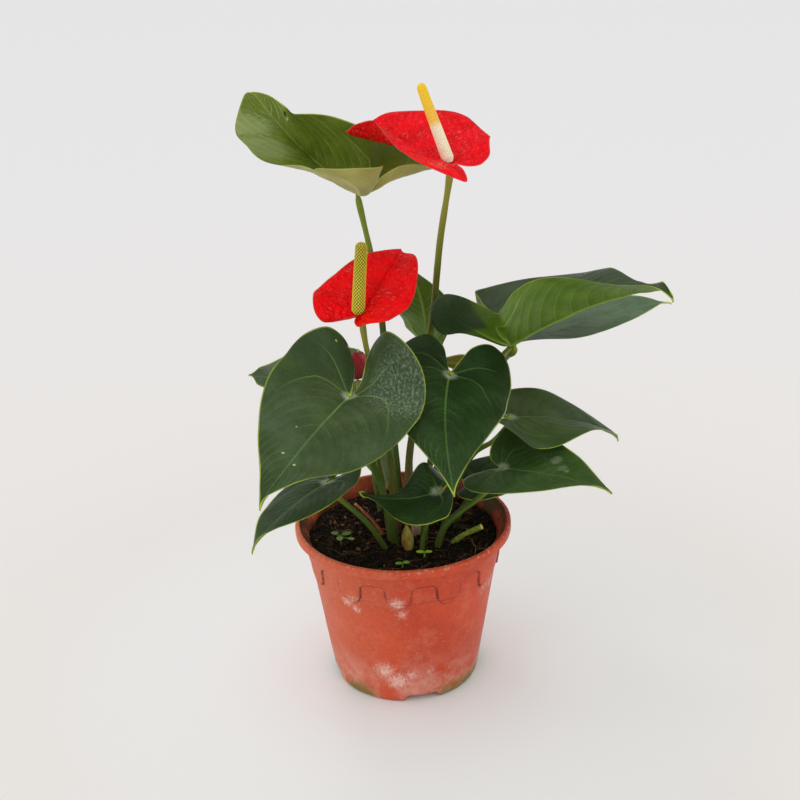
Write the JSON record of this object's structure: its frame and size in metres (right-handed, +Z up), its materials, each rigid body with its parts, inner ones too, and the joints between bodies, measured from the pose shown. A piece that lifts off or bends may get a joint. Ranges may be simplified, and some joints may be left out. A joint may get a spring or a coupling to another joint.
{
  "type": "potted anthurium",
  "caption": "Flowering anthurium in a round plastic nursery pot filled with peat, with heart-shaped leaves on long stalks and red spathes with upright spadices.",
  "frame": {"origin": "centre of the pot's base, on the face the pot stands on", "axes": "+Z up along the pot's axis, -Y towards the front of the plant as pictured, +X to the right in the picture"},
  "size_m": [0.2805, 0.2689, 0.3889],
  "materials": {
    "darkLeaf": "glossy, waxy dark green leaf with pale veins and a thin yellow-green margin",
    "petioleGreen": "smooth, satin green leaf stalk",
    "brightLeaf": "satin, fresh green leaf with pale underside",
    "oliveLeaf": "satin, olive green underside of a leaf",
    "redSpathe": "very glossy waxy red spathe",
    "peduncleOlive": "smooth, satin olive-brown flower stalk",
    "yellowSpadix": "matte, cream below and orange-yellow above",
    "greenSpadix": "matte yellow-green with brown dots",
    "seedlingGreen": "satin, bright green",
    "brownSheath": "papery, dry brown sheath",
    "paleSheath": "papery, dry beige sheath",
    "dryStub": "dry reddish brown stub",
    "bark": "rough grey-brown bark",
    "peat": "matte, damp dark brown peat with root fibres",
    "terracottaPlastic": "satin terracotta-red moulded plastic, dusty and scuffed"
  },
  "bodies": {
    "root": {"leaf_front_left": "darkLeaf", "petiole_front_left": "petioleGreen", "leaf_front_centre": "darkLeaf", "petiole_front_centre": "petioleGreen", "leaf_small_cupped": "darkLeaf", "petiole_small_cupped": "petioleGreen", "leaf_low_left": "darkLeaf", "petiole_low_left": "petioleGreen", "leaf_left_behind": "darkLeaf", "petiole_left_behind": "petioleGreen", "leaf_right_middle": "darkLeaf", "petiole_right_middle": "petioleGreen", "leaf_right_low": "darkLeaf", "petiole_right_low": "petioleGreen", "leaf_right_back": "darkLeaf", "petiole_right_back": "petioleGreen", "leaf_right_folded": "brightLeaf", "petiole_right_folded": "petioleGreen", "leaf_right_under": "darkLeaf", "petiole_right_under": "petioleGreen", "leaf_top": "brightLeaf", "petiole_top": "petioleGreen", "leaf_upright_back": "oliveLeaf", "petiole_upright_back": "petioleGreen", "leaf_young_back": "oliveLeaf", "petiole_young_back": "petioleGreen", "leaf_low_back": "oliveLeaf", "petiole_low_back": "petioleGreen", "upper_spathe": "redSpathe", "upper_peduncle": "peduncleOlive", "upper_spadix": "yellowSpadix", "lower_spathe": "redSpathe", "lower_peduncle": "peduncleOlive", "lower_spadix": "greenSpadix", "young_peduncle": "peduncleOlive", "young_spathe": "redSpathe", "young_spathe_tip": "seedlingGreen", "sheath_brown": "brownSheath", "sheath_pale": "paleSheath", "stub_dry": "dryStub", "stub_cut": "seedlingGreen", "bark_chip": "bark", "seedling_left": "seedlingGreen", "seedling_right": "seedlingGreen", "seedling_front": "seedlingGreen", "soil": "peat", "pot": "terracottaPlastic"}
  },
  "joints": []
}
